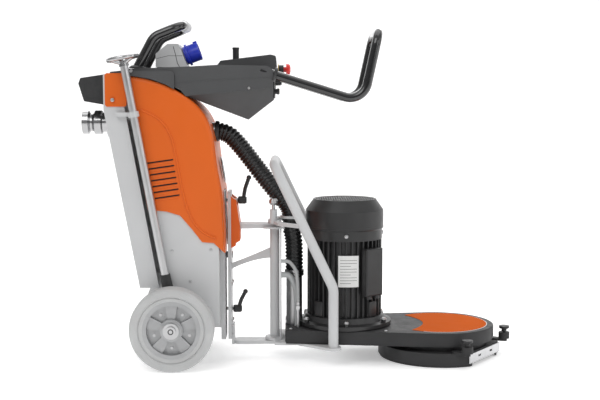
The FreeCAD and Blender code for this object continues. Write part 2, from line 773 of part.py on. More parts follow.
def swing_arms():
    """Welded links and gusset that carry the vertical hinge post."""
    upper = upper_arm(0)
    lower = strap(PLATE_X1 + 30, 0, 30, HINGE_X, 0, 26, LOW_ARM_Z, LOW_ARM_Z + 10)
    foot = box(PLATE_X1 + SEAT, PLATE_X1 + 8, -30, 30, LOW_ARM_Z, 100)
    near = PLATE_X1 + SEAT
    far = HINGE_X - HINGE_R - SEAT
    runs = [[(near, 292), (215, 310), (far, 341)], [(far, 341), (far, 309)],
            [(far, 309), (215, 294), (near, 274)], [(near, 274), (near, 292)]]
    gusset = edges_through(runs, -4).extrude(V(0, 8, 0))
    body = upper.cut(box(100, near, -60, 60, 0, 500))
    lower = lower.cut(box(100, near, -60, 60, 0, 500))
    lower = join([lower, foot])
    post_space = rod(HINGE_R + SEAT, V(HINGE_X, 0, 20), V(HINGE_X, 0, 460))
    plate = index_plate().cut(post_space)
    return group([body.cut(post_space), lower.cut(post_space), gusset, plate])


def hinge_post():
    """Vertical hinge tube with the strap and ring that hold the hose."""
    tube = rod(HINGE_R, V(HINGE_X, 0, LOW_ARM_Z), V(HINGE_X, 0, STRAP_Z + 4))
    arm = box(HINGE_X, CLIP_X - 24, -2, 18, STRAP_Z, STRAP_Z + 4)
    clip = ring(HOSE_R + 5, HOSE_R + 1, STRAP_Z, STRAP_Z + 8, CLIP_X, CLIP_Y)
    body = join([tube, arm, clip])
    body = body.cut(ring(HOSE_R + 1, 0.1, STRAP_Z - 2, STRAP_Z + 10, CLIP_X, CLIP_Y))
    return body.cut(rod(HINGE_BORE, V(HINGE_X, 0, 20), V(HINGE_X, 0, STRAP_Z - 4)))


def clamp_lever(level, hub_x, tip):
    """Clamp lever: bored hub on its stud and a raised handle with a rounded end."""
    hub = turned([(0, 0), (10, 0), (12, 4), (12, 22), (9, 27), (0, 27)],
                 V(hub_x, 0, level), X_AXIS)
    bend = V((hub_x + 16 + tip.x) / 2 - 3, 0, (level + tip.z) / 2)
    handle = bent_bar([V(hub_x + 16, 0, level), bend, tip], [60], 6)
    body = join([hub, handle, Part.makeSphere(7.5, tip)])
    return body.cut(rod(STUD_R + RUN, V(hub_x - 5, 0, level),
                        V(hub_x + STUD_DEPTH + GAP, 0, level)))


# ---- front frame ---------------------------------------------------------------
def hoop_tube():
    """Bent tube hoop over the hinge, with its feet on the base plate."""
    feet_z = BASE_Z1 + SEAT
    route = [V(480, -HOOP_Y, feet_z), V(480, -HOOP_Y, 238), V(303, -HOOP_Y, 608),
             V(303, HOOP_Y, 608), V(480, HOOP_Y, 238), V(480, HOOP_Y, feet_z)]
    return bent_bar(route, [60, 45, 45, 60], HOOP_R)


def front_bracket():
    """Weldment of base plate, upright and top fork that turns on the hinge post."""
    base = []
    for side in (-1, 1):
        base.append(strap(HINGE_X, 0, 30, 480, side * HOOP_Y, 24, BASE_Z0, BASE_Z1))
        base.append(strap(480, side * HOOP_Y, 24, 400, 0, 60, BASE_Z0, BASE_Z1))
    base.append(box(HINGE_X, MOTOR_X, -100, 100, BASE_Z0, BASE_Z1))
    upright = box(UPRIGHT_X, UPRIGHT_X + 4, -60, 40, BASE_Z1 - 1, FORK_Z0 + 1)
    upright = upright.cut(box(UPRIGHT_X - 1, 330, -61, 24, ARM_TOP_Z - 6, FORK_Z0))
    fork = [rod(HINGE_R + 6, V(HINGE_X, 0, FORK_Z0), V(HINGE_X, 0, FORK_Z1))]
    fork.append(box(HINGE_X, UPRIGHT_X + 4, -22, 40, FORK_Z0, FORK_Z1))
    for side in (-1, 1):
        fork.append(strap(HINGE_X, side * 16, 10, 320, side * 96, 9, FORK_Z0, FORK_Z1))
        fork.append(strap(320, side * 96, 9, 381, side * (HOOP_Y - 4), 9, FORK_Z0, FORK_Z1))
    x, y = polar(HINGE_X, 0, INDEX_R, INDEX_TURN)
    sleeve = rod(11, V(x, y, FORK_Z0), V(x, y, FORK_Z1 + 34))
    body = join(base + [upright] + fork + [sleeve])
    body = body.cut(rod(HINGE_R + RUN, V(HINGE_X, 0, 20), V(HINGE_X, 0, 460)))
    body = body.cut(rod(PLUNGER_R + RUN, V(x, y, 400), V(x, y, 500)))
    return body.cut(hoop_space())


def hoop_space():
    """Room for the hoop's sloping legs where the fork's arms meet them."""
    cuts = []
    for side in (-1, 1):
        low = V(480, side * HOOP_Y, 238)
        high = V(303, side * HOOP_Y, 608)
        cuts.append(rod(HOOP_R + SEAT, low, high))
    return Part.makeCompound(cuts)


def index_plunger():
    """Spring plunger with a pull knob, parked above the arm's index holes."""
    x, y = polar(HINGE_X, 0, INDEX_R, INDEX_TURN)
    pin = rod(PLUNGER_R, V(x, y, ARM_TOP_Z + ARM_THICK + GAP), V(x, y, 490))
    knob = turned([(0, 0), (9, 0), (14, 6), (14, 14), (10, 20), (0, 20)], V(x, y, 478), Z_AXIS)
    return join([pin, knob])


# ---- grinding head ---------------------------------------------------------------
MOTOR_Z0 = COVER_TOP_Z + SEAT
FINS = 40
STATOR_Z0 = 140.0
STATOR_Z1 = 372.0
FAN_COWL_Z1 = 495.0
PULLEY_Z0 = 75.0
PULLEY_Z1 = 91.0
BELL_R = 150.0
GRILLE_BARS = 9


def cover_outline(inset, z0, z1):
    """Plan shape of the belt cover: square rear, round front."""
    radius = COVER_R - inset
    rear_x = COVER_REAR_X + inset
    half = COVER_REAR_HALF - inset
    run = math.hypot(SPINDLE_X - rear_x, half)
    aim = math.degrees(math.atan2(-half, SPINDLE_X - rear_x))
    lean = math.degrees(math.asin(radius / run))
    touch = aim + lean + 90
    x, y = polar(SPINDLE_X, 0, radius, touch)
    flat = plan_prism([(rear_x, half), (x, y), (x, -y), (rear_x, -half)], z0, z1)
    return join([flat, Part.makeCylinder(radius, z1 - z0, V(SPINDLE_X, 0, z0))])


def belt_cover():
    """Pressed cover over the belt, open below, with holes for shaft and hose."""
    body = cover_outline(0, COVER_LOW_Z + SEAT, COVER_TOP_Z)
    body = long_edges(body, on_cover_rim, 4)
    body = body.cut(cover_outline(COVER_WALL, COVER_LOW_Z - 5, COVER_TOP_Z - COVER_WALL))
    body = body.cut(rod(SHAFT_R + 12, V(MOTOR_X, 0, 90), V(MOTOR_X, 0, 110)))
    return body.cut(rod(PORT_R + SEAT, V(HOSE_PORT_X, 0, 90), V(HOSE_PORT_X, 0, 110)))


def on_cover_rim(edge):
    """True for the edges round the cover's top."""
    return edge.BoundBox.ZMin > COVER_TOP_Z - 0.01


def head_base():
    """Base plate of the head with the bearing housing and the guard's swivel bell."""
    low = BASE_Z1 + SEAT
    plate = cover_outline(2, low, COVER_LOW_Z)
    housing = rod(45, V(SPINDLE_X, 0, 32), V(SPINDLE_X, 0, low + 1))
    bell = ring(BELL_R, BELL_R - 12, 36, low + 1, SPINDLE_X)
    lip = ring(BELL_R + 6, BELL_R - 12, 30, 36, SPINDLE_X)
    body = join([plate, housing, bell, lip])
    body = body.cut(rod(SPINDLE_R + RUN, V(SPINDLE_X, 0, 0), V(SPINDLE_X, 0, 120)))
    return body.cut(rod(SHAFT_R + 12, V(MOTOR_X, 0, 50), V(MOTOR_X, 0, 70)))


def drive_belt():
    """Flat belt round both pulleys."""
    gap = 0.15
    thick = 5.0
    outer = strap(SPINDLE_X, 0, SPINDLE_PULLEY_R + gap + thick,
                  MOTOR_X, 0, MOTOR_PULLEY_R + gap + thick, PULLEY_Z0 + 1, PULLEY_Z1 - 1)
    inner = strap(SPINDLE_X, 0, SPINDLE_PULLEY_R + gap,
                  MOTOR_X, 0, MOTOR_PULLEY_R + gap, PULLEY_Z0, PULLEY_Z1)
    return outer.cut(inner)


def motor_frame():
    """Finned motor housing on a round flange."""
    flange = turned([(70, 0), (FLANGE_R - 3, 0), (FLANGE_R, 3), (FLANGE_R, 14), (128, 18),
                     (122, 34), (70, 38)], V(MOTOR_X, 0, MOTOR_Z0), Z_AXIS)
    outline = []
    for i in range(FINS):
        middle = 360 / FINS * i
        for radius, offset in ((FIN_R - 12, -1.4), (FIN_R, -0.8), (FIN_R, 0.8), (FIN_R - 12, 1.4)):
            outline.append(polar(MOTOR_X, 0, radius, middle + offset))
    barrel = plan_prism(outline, STATOR_Z0 - 4, STATOR_Z1)
    barrel = barrel.cut(rod(82, V(MOTOR_X, 0, 100), V(MOTOR_X, 0, 400)))
    pieces = [flange, barrel]
    low = ring(84, SHAFT_R + RUN, MOTOR_Z0 + 20, MOTOR_Z0 + 36, MOTOR_X)
    high = ring(84, SHAFT_R + RUN, STATOR_Z1 - 14, STATOR_Z1, MOTOR_X)
    for turn in (30, 90, 150, 210, 270, 330):
        x, y = polar(MOTOR_X, 0, FLANGE_R - 9, turn)
        pieces.append(rod(7, V(x, y, MOTOR_Z0 + 12), V(x, y, MOTOR_Z0 + 24)))
    body = join(pieces + [low, high])
    return body.cut(rod(PORT_COLLAR_R + GAP, V(HOSE_PORT_X, 0, 95), V(HOSE_PORT_X, 0, 260)))


def fan_cowl():
    """Pressed fan cover with a slotted top."""
    low = STATOR_Z1 + SEAT
    top = FAN_COWL_Z1
    outer = [(0, low), (FAN_COWL_R - 2, low), (FAN_COWL_R - 2, low + 30),
             (FAN_COWL_R + 2, low + 36), (FAN_COWL_R + 2, top - 34), (FAN_COWL_R - 18, top - 6),
             (FAN_COWL_R - 22, top), (0, top)]
    inner = [(0, low - 1), (FAN_COWL_R - 5, low - 1), (FAN_COWL_R - 5, top - 36),
             (FAN_COWL_R - 23, top - 4), (0, top - 4)]
    body = turned(outer, V(MOTOR_X, 0, 0), Z_AXIS).cut(turned(inner, V(MOTOR_X, 0, 0), Z_AXIS))
    pitch = 2 * (FAN_COWL_R - 30) / (GRILLE_BARS + 1)
    slots = []
    for i in range(GRILLE_BARS + 1):
        y = (i - GRILLE_BARS / 2) * pitch
        half = math.sqrt(max((FAN_COWL_R - 28) ** 2 - y ** 2, 100))
        slots.append(box(MOTOR_X - half, MOTOR_X + half, y - 6, y + 6, top - 10, top + 10))
    return body.cut(Part.makeCompound(slots))


def terminal_box():
    """Connection box on the motor's right-hand front."""
    case = box(FIN_R + 0.5, FIN_R + 22, -34, 34, 205, 350)
    case = long_edges(case, lambda edge: edge.BoundBox.XMin > FIN_R + 21, 5)
    lid_gap = box(FIN_R + 15, FIN_R + 16, -40, 40, 200, 360)
    inner = box(FIN_R, FIN_R + 14, -30, 30, 209, 346)
    core = box(FIN_R + 10, FIN_R + 18, -32, 32, 207, 348)
    case = case.cut(lid_gap.cut(core)).cut(inner)
    glands = [rod(9, V(FIN_R + 11, y, 196), V(FIN_R + 11, y, 206)) for y in (-16, 16)]
    body = join([case] + glands)
    return moved(spun(body, -50, V(0, 0, 0)), MOTOR_X)


HOSE_PORT_Z1 = 250.0


def hose_port():
    """Steel outlet pipe of the head with a clamp round the hose's end."""
    pipe = ring(PORT_R, PORT_R - 3, COVER_TOP_Z - COVER_WALL, HOSE_PORT_Z1, HOSE_PORT_X)
    collar = ring(PORT_COLLAR_R, PORT_R - 0.5, MOTOR_Z0, MOTOR_Z0 + 5, HOSE_PORT_X)
    return join([pipe, collar])


UPPER_HOSE = [V(119.8, 0, 703.9), V(151, 1, 702.4), V(192, 8, 674), V(240, 18, 620),
              V(285, 24, 560), V(323, 21, 505), V(CLIP_X, CLIP_Y, 462),
              V(CLIP_X, CLIP_Y, STRAP_Z + 1)]
LOWER_HOSE = [V(CLIP_X, CLIP_Y, STRAP_Z + 0.5), V(CLIP_X, CLIP_Y, 408),
              V(HOSE_PORT_X - 1, 6, 366), V(HOSE_PORT_X, 0, 310),
              V(HOSE_PORT_X, 0, HOSE_PORT_Z1 + SEAT)]


def hose_piece(name, points):
    """Plain tube along a hose route; its bend radii are printed."""
    radii = soft_radii(points)
    print(name, "bend radii:", [round(r) for r in radii])
    body = bent_bar(points, radii, HOSE_R)
    length = bent_path(points, radii).Length
    print(name, "length:", round(length), "volume ratio:",
          round(body.Volume / (math.pi * HOSE_R ** 2 * length), 4))
    return body


CONDUIT = [V(UPRIGHT_X + 4.5, -48, 262), V(348, -48, 262), V(368, -48, 226), V(372, -48, 160),
           V(372, -48, COVER_TOP_Z + SEAT)]
WATER = [V(UPRIGHT_X + 4.5, -56, 306), V(347, -57, 306), V(369, -66, 280), V(374, -66, 230),
         V(374, -66, 180)]


def cable_conduit():
    """Grey motor cable from the upright down to the cover."""
    return bent_bar(CONDUIT, soft_radii(CONDUIT), 9)


def water_hose():
    """Thin water hose with its fitting."""
    return bent_bar(WATER, soft_radii(WATER), 5.5)


def water_fitting():
    """Brass elbow and stem that the water hose plugs onto."""
    stem = rod(5, V(374, -66, COVER_TOP_Z + SEAT), V(374, -66, 170))
    body = rod(8, V(374, -66, 155), V(374, -66, 180 - SEAT))
    side = rod(6, V(374, -66, 166), V(374, -84, 166))
    return join([stem, body, side])


def motor_rotor():
    """Shaft with its wound core and the small belt pulley."""
    shaft = rod(SHAFT_R, V(MOTOR_X, 0, 70), V(MOTOR_X, 0, 455))
    core = rod(78, V(MOTOR_X, 0, 170), V(MOTOR_X, 0, 330))
    pulley = rod(MOTOR_PULLEY_R, V(MOTOR_X, 0, PULLEY_Z0), V(MOTOR_X, 0, PULLEY_Z1))
    return join([shaft, core, pulley])


def cooling_fan():
    """Bladed fan on the upper end of the shaft."""
    hub = ring(26, SHAFT_R + SEAT, 405, 440, MOTOR_X)
    plate = ring(95, 25, 405, 408, MOTOR_X)
    blades = []
    for i in range(9):
        blade = box(24, 94, -1.5, 1.5, 407, 440)
        blades.append(moved(spun(blade, 40 * i, V(0, 0, 0)), MOTOR_X))
    return join([hub, plate] + blades)


def spindle():
    """Grinding spindle with the large belt pulley and the tool flange."""
    shaft = rod(SPINDLE_R, V(SPINDLE_X, 0, DISC_THICK + SEGMENT_H + SEAT),
                V(SPINDLE_X, 0, 96))
    pulley = rod(SPINDLE_PULLEY_R, V(SPINDLE_X, 0, PULLEY_Z0), V(SPINDLE_X, 0, PULLEY_Z1))
    flange = rod(40, V(SPINDLE_X, 0, DISC_THICK + SEGMENT_H + SEAT), V(SPINDLE_X, 0, 28))
    return join([shaft, pulley, flange])


def tool_disc():
    """Steel disc with grinding segments under it."""
    plate = ring(DISC_R, 20, SEGMENT_H, SEGMENT_H + DISC_THICK, SPINDLE_X)
    segments = [plate]
    for i in range(12):
        segment = Part.makeCylinder(DISC_R - 3, SEGMENT_H + 0.5, V(0, 0, 0), Z_AXIS, 18)
        segment = segment.cut(Part.makeCylinder(DISC_R - 28, SEGMENT_H + 2, V(0, 0, -1)))
        segments.append(moved(spun(segment, 30 * i, V(0, 0, 0)), SPINDLE_X))
    return join(segments)


# ---- guard round the disc --------------------------------------------------------
CHORD = 160.0
BLOCK_R = 211.0
BLOCK_TURN = 38.0
GUARD_TOP = 44.0


def turned_guard(shape):
    """Turn a guard piece from straight ahead to its set direction."""
    return spun(shape, SHROUD_YAW, V(SPINDLE_X, 0, 0))


def beyond_chord(distance):
    """Space in front of the guard's flat front."""
    return box(SPINDLE_X + distance, SPINDLE_X + 400, -300, 300, -10, 200)


def shroud_ring():
    """Guard ring with an inward top flange that turns on the head's bell."""
    wall = ring(SHROUD_R, SHROUD_R - 4, 8, GUARD_TOP, SPINDLE_X)
    top = ring(SHROUD_R, BELL_R + GAP, GUARD_TOP - 6, GUARD_TOP, SPINDLE_X)
    body = join([wall, top]).cut(beyond_chord(CHORD))
    arms = []
    for side in (-1, 1):
        x0, y0 = polar(SPINDLE_X, 0, SHROUD_R - 12, side * (BLOCK_TURN + 6))
        x1, y1 = polar(SPINDLE_X, 0, BLOCK_R, side * BLOCK_TURN)
        arms.append(strap(x0, y0, 14, x1, y1, 10, GUARD_TOP - 3, GUARD_TOP + 5))
    return turned_guard(join([body] + arms))


def brush_skirt():
    """Brush strip inside the guard, down to the floor."""
    skirt = ring(SHROUD_R - 4 - SEAT, SHROUD_R - 10, 1, GUARD_TOP - 6 - SEAT, SPINDLE_X)
    return turned_guard(skirt.cut(beyond_chord(CHORD - 1)))


def clamp_blocks():
    """Two clamp blocks for the sliding front plate."""
    blocks = []
    for side in (-1, 1):
        x, y = polar(SPINDLE_X, 0, BLOCK_R, side * BLOCK_TURN)
        block = Part.makeCylinder(17, 20, V(x, y, GUARD_TOP + 5 + SEAT))
        block = block.cut(rod(4 + RUN, V(x, y, 40), V(x, y, 90)))
        blocks.append(turned_guard(block))
    return group(blocks)


def front_plate():
    """Sliding aluminium plate across the guard's open front."""
    plate = box(SPINDLE_X + CHORD + GAP, SPINDLE_X + CHORD + 4, -104, 104, 12, 40)
    for y in (-40, 40):
        plate = plate.cut(box(SPINDLE_X + CHORD - 5, SPINDLE_X + CHORD + 10, y - 9, y + 9, 24, 30))
    return turned_guard(plate)


def thumb_screw(side):
    """Thumb screw of one clamp block."""
    x, y = polar(SPINDLE_X, 0, BLOCK_R, side * BLOCK_TURN + SHROUD_YAW)
    shaft = rod(4, V(x, y, GUARD_TOP + 8), V(x, y, 78))
    head = turned([(0, 0), (8, 0), (8, 6), (16, 10), (16, 17), (0, 17)], V(x, y, 72), Z_AXIS)
    return join([shaft, head])


# ---- the whole machine -------------------------------------------------------------
keep("cabinet_shell", cabinet_shell())
keep("rear_tower", rear_tower())
keep("cowl", cowl())
keep("corner_plates", corner_plates())
keep("top_cap", top_cap())
keep("tipping_bumper", tipping_bumper())
keep("dust_coupling", dust_coupling())
keep("dust_duct", dust_duct())
keep("front_post", front_post())
keep("wheel_axle", wheel_axle())
keep("drive_unit", drive_unit())
keep("rod_boot", rod_boot())
keep("wheel_bearings", wheel_bearings())
for name, side in (("left", 1), ("right", -1)):
    keep("tyre_" + name, tyre(side))
    keep("rim_" + name, rim(side))
keep("brake_rod", brake_rod())
keep("ring_handle", ring_handle())
keep("console_shell", console_shell())
keep("console_underside", console_underside())
keep("control_panel", group([control_panel(), emergency_collar()]))
keep("handlebar", handlebar())
keep("lift_loop", lift_loop())
keep("inlet_housing", inlet_housing())
keep("inlet_shroud", inlet_shroud())
keep("cable_post", cable_post())
keep("tilt_pin", tilt_pivot())
keep("emergency_button", emergency_button())
keep("speed_knob", speed_knob())
keep("pendulum_plate", pendulum_plate())
keep("pivot_guard", pivot_guard())
keep("swing_arms", swing_arms())
keep("hinge_post", hinge_post())
keep("clamp_lever_upper", clamp_lever(LEVER_UP_Z, LEVER_UP_X, V(222, 0, 560)))
keep("clamp_lever_lower", clamp_lever(LEVER_LOW_Z, LEVER_LOW_X, V(210, 0, 202)))
keep("front_bracket", front_bracket())
keep("hoop_tube", hoop_tube())
keep("index_plunger", index_plunger())
keep("belt_cover", belt_cover())
keep("head_base", head_base())
keep("drive_belt", drive_belt())
keep("motor_frame", motor_frame())
keep("fan_cowl", fan_cowl())
keep("terminal_box", terminal_box())
keep("head_fittings", group([hose_port(), water_fitting()]))
keep("hose_upper", hose_piece("hose_upper", UPPER_HOSE))
keep("hose_lower", hose_piece("hose_lower", LOWER_HOSE))
keep("cable_conduit", cable_conduit())
keep("water_hose", water_hose())
keep("motor_rotor", motor_rotor())
keep("cooling_fan", cooling_fan())
keep("spindle", spindle())
keep("tool_disc", tool_disc())
keep("shroud_ring", shroud_ring())
keep("brush_skirt", brush_skirt())
keep("clamp_blocks", clamp_blocks())
keep("front_plate", front_plate())
keep("thumb_screw_left", thumb_screw(1))
keep("thumb_screw_right", thumb_screw(-1))

whole = Part.makeCompound(list(PARTS.values())).BoundBox
x_middle = (whole.XMin + whole.XMax) / 2
print("axle is", round(x_middle, 3), "mm behind the origin")
os.makedirs("parts", exist_ok=True)
for name, shape in PARTS.items():
    moved(shape, -x_middle).exportStep("parts/" + name + ".step")
print(len(PARTS), "pieces written")
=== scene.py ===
"""Looks of the walk-behind edge floor grinder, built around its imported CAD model."""
import json
import math

import bmesh
import bpy
from mathutils import Matrix, Vector


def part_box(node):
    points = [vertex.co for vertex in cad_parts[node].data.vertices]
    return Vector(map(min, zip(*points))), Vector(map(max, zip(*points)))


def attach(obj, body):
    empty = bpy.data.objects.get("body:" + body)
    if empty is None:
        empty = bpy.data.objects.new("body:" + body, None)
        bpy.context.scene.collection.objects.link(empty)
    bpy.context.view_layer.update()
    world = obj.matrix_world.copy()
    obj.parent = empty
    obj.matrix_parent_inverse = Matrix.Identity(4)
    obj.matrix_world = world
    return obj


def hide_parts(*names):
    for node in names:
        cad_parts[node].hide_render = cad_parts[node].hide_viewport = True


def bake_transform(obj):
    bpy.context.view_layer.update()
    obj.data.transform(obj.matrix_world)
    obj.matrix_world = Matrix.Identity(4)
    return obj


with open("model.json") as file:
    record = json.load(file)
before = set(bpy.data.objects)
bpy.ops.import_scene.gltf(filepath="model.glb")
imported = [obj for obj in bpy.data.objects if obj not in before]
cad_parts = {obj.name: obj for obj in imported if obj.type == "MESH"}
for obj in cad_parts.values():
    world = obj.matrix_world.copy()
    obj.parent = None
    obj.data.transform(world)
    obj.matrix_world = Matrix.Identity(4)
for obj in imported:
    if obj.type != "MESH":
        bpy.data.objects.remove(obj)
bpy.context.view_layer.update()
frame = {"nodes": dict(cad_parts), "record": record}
NODES = frame["nodes"]
MM = 0.001


# ---- places worked out from the frame ------------------------------------------
def middle(node):
    """Centre of a CAD node's box."""
    low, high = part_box(node)
    return (low + high) / 2


AXLE = middle("wheel_axle")
SPINDLE = middle("tool_disc")
MOTOR = middle("fan_cowl")
RIGHT_LEFT = ((-1, "right"), (1, "left"))


def at(x, y, z):
    """Point given in millimetres from the wheel axle's middle, height from the floor."""
    return Vector((AXLE.x + x * MM, y * MM, z * MM))


# ---- camera, light and floor -----------------------------------------------------
CAMERA_DISTANCE = 3.5
CAMERA_HEIGHT = 0.821
CAMERA_LENS = 67.7
CAMERA_PITCH = 5.41
CAMERA_TURN = 0.5
AIM_X = AXLE.x + 0.381


def add_camera():
    """Camera on the machine's right, level with the console."""
    data = bpy.data.cameras.new("camera")
    data.lens = CAMERA_LENS
    data.sensor_width = 36.0
    camera = bpy.data.objects.new("camera", data)
    turn = math.radians(CAMERA_TURN)
    camera.location = (AIM_X - math.sin(turn) * CAMERA_DISTANCE,
                       -math.cos(turn) * CAMERA_DISTANCE, CAMERA_HEIGHT)
    camera.rotation_euler = (math.radians(90 - CAMERA_PITCH), 0, -turn)
    bpy.context.scene.collection.objects.link(camera)
    bpy.context.scene.camera = camera


def add_light(name, place, aim, size, power):
    """Large soft lamp pointed at a place."""
    data = bpy.data.lights.new(name, "AREA")
    data.shape = "RECTANGLE"
    data.size, data.size_y = size
    data.energy = power
    lamp = bpy.data.objects.new(name, data)
    lamp.location = place
    lamp.rotation_euler = (Vector(aim) - Vector(place)).to_track_quat("-Z", "Y").to_euler()
    bpy.context.scene.collection.objects.link(lamp)


def add_stage():
    """Pale floor that runs up into a backdrop, soft lamps and a world that darkens downwards."""
    width, near, far, high, bend = 9.0, -6.0, 4.0, 5.0, 1.6
    line = [(near, 0.0), (far - bend, 0.0)]
    for i in range(1, 13):
        turn = math.radians(90 * i / 12)
        line.append((far - bend + bend * math.sin(turn), bend - bend * math.cos(turn)))
    line.append((far, high))
    mesh = bpy.data.meshes.new("backdrop")
    points = [(side * width, y, z) for y, z in line for side in (-1, 1)]
    faces = [(2 * i, 2 * i + 1, 2 * i + 3, 2 * i + 2) for i in range(len(line) - 1)]
    mesh.from_pydata(points, [], faces)
    mesh.polygons.foreach_set("use_smooth", [True] * len(faces))
    floor = bpy.data.objects.new("backdrop", mesh)
    bpy.context.scene.collection.objects.link(floor)
    white = plain_material("stage_white", (0.93, 0.93, 0.93), 0.85)
    shader = white.node_tree.nodes["Principled BSDF"]
    shader.inputs["Emission Color"].default_value = (1, 1, 1, 1)
    shader.inputs["Emission Strength"].default_value = 0.34
    mesh.materials.append(white)
    add_light("key", (-1.6, -2.6, 3.2), (0, 0, 0.4), (2.6, 2.0), 40)
    add_light("fill", (2.4, -2.8, 1.6), (0.1, 0, 0.5), (2.0, 2.0), 17)
    add_light("top", (0.2, 0.4, 3.4), (0, 0, 0), (3.4, 2.4), 27)
    add_light("back", (0.0, 2.6, 2.4), (0, 0.6, 0.6), (3.2, 1.6), 27)
    add_light("front_strip", (3.0, -0.4, 1.2), (0.3, 0, 0.5), (0.7, 2.0), 9)
    world = bpy.data.worlds.new("studio")
    world.use_nodes = True
    nodes, links = world.node_tree.nodes, world.node_tree.links
    up = nodes.new("ShaderNodeSeparateXYZ")
    links.new(nodes.new("ShaderNodeTexCoord").outputs["Generated"], up.inputs["Vector"])
    fade = nodes.new("ShaderNodeValToRGB")
    links.new(up.outputs["Z"], fade.inputs["Fac"])
    fade.color_ramp.elements[0].color = (0.30, 0.30, 0.305, 1)
    fade.color_ramp.elements[1].position = 0.7
    fade.color_ramp.elements[1].color = (1, 1, 1, 1)
    links.new(fade.outputs["Color"], nodes["Background"].inputs["Color"])
    nodes["Background"].inputs["Strength"].default_value = 0.62
    bpy.context.scene.world = world
    bpy.context.scene.view_settings.view_transform = "Standard"


# ---- materials ---------------------------------------------------------------------
def plain_material(name, colour, roughness, metallic=0.0):
    """Material with one Principled shader; returns the material."""
    material = bpy.data.materials.new(name)
    material.use_nodes = True
    shader = material.node_tree.nodes["Principled BSDF"]
    shader.inputs["Base Color"].default_value = (*colour, 1)
    shader.inputs["Roughness"].default_value = roughness
    shader.inputs["Metallic"].default_value = metallic
    return material


class Surface:
    """Builds one procedural material on object coordinates."""

    def __init__(self, name, colour, roughness, metallic=0.0):
        self.material = plain_material(name, colour, roughness, metallic)
        self.tree = self.material.node_tree
        self.shader = self.tree.nodes["Principled BSDF"]
        self.colour = colour
        self.base_roughness = roughness
        self.position = self.tree.nodes.new("ShaderNodeTexCoord").outputs["Object"]
        self.normal = None

    def put(self, **values):
        """Sets constants on the shader's own sockets."""
        for key, value in values.items():
            self.shader.inputs[key.replace("_", " ")].default_value = value
        return self

    def stretched(self, scale):
        """Object coordinates scaled differently along each axis."""
        mapping = self.tree.nodes.new("ShaderNodeMapping")
        mapping.inputs["Scale"].default_value = scale
        self.tree.links.new(self.position, mapping.inputs["Vector"])
        return mapping.outputs["Vector"]

    def noise(self, scale, detail=3.0, stretch=None):
        """Noise value over the surface."""
        node = self.tree.nodes.new("ShaderNodeTexNoise")
        node.inputs["Scale"].default_value = scale
        node.inputs["Detail"].default_value = detail
        place = self.stretched(stretch) if stretch else self.position
        self.tree.links.new(place, node.inputs["Vector"])
        return node.outputs["Fac"]

    def ramp(self, value, stops):
        """Value or colour ramp of (place, colour) stops."""
        node = self.tree.nodes.new("ShaderNodeValToRGB")
        ramp = node.color_ramp
        while len(ramp.elements) < len(stops):
            ramp.elements.new(0.5)
        for element, (place, colour) in zip(ramp.elements, stops):
            element.position = place
            element.color = (*colour, 1) if len(colour) == 3 else colour
        self.tree.links.new(value, node.inputs["Fac"])
        return node.outputs["Color"]

    def tint(self, scale, spread, detail=3.0, stretch=None):
        """Lets the colour wander a little lighter and darker."""
        light = [min(1.0, c * (1 + spread)) for c in self.colour]
        dark = [c * (1 - spread) for c in self.colour]
        colour = self.ramp(self.noise(scale, detail, stretch), [(0.3, dark), (0.7, light)])
        self.tree.links.new(colour, self.shader.inputs["Base Color"])
        return self

    def rough(self, scale, spread, detail=4.0, stretch=None):
        """Lets the roughness wander."""
        low = max(0.02, self.base_roughness - spread)
        high = min(1.0, self.base_roughness + spread)
        value = self.ramp(self.noise(scale, detail, stretch),
                          [(0.3, (low,) * 3), (0.7, (high,) * 3)])
        self.tree.links.new(value, self.shader.inputs["Roughness"])
        return self

    def bump(self, value, distance, strength=1.0):
        """Adds a bump from a value, on top of any bump before it."""
        node = self.tree.nodes.new("ShaderNodeBump")
        node.inputs["Distance"].default_value = distance
        node.inputs["Strength"].default_value = strength
        self.tree.links.new(value, node.inputs["Height"])
        if self.normal:
            self.tree.links.new(self.normal, node.inputs["Normal"])
        self.normal = node.outputs["Normal"]
        self.tree.links.new(self.normal, self.shader.inputs["Normal"])
        return self

    def grain(self, scale, distance, strength=0.5, detail=2.0, stretch=None):
        """Fine moulded or cast grain."""
        return self.bump(self.noise(scale, detail, stretch), distance, strength)


